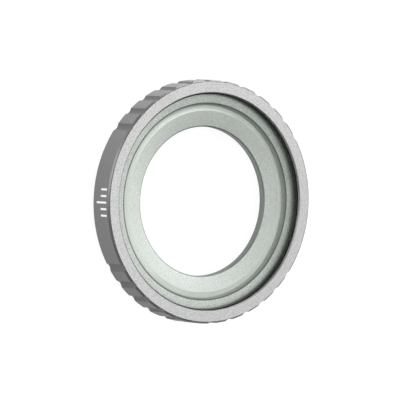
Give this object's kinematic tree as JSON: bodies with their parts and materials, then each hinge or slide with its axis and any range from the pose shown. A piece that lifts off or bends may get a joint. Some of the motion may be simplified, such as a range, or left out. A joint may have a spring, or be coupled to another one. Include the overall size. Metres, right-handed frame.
{
  "type": "screw in lens filter",
  "caption": "Round lens filter: coated glass seated in a notched aluminium grip ring, with a stepped and dished aperture behind it and a threaded boss that screws into a lens.",
  "frame": {"origin": "middle of the threaded boss's end face, on which the filter lies", "axes": "+Z along the optical axis, out of the front glass; +X and -X point at the two plain spans of the grip ring, and +Y and -Y at the middles of its two notched arcs"},
  "size_m": [0.03, 0.03, 0.0051],
  "materials": {
    "anodised_aluminium": "sandblasted and clear anodised, satin",
    "coated_glass": "polished, with a pale green coating and a blackened edge"
  },
  "bodies": {
    "root": {"filter_frame": "anodised_aluminium", "filter_glass": "coated_glass"}
  },
  "joints": []
}
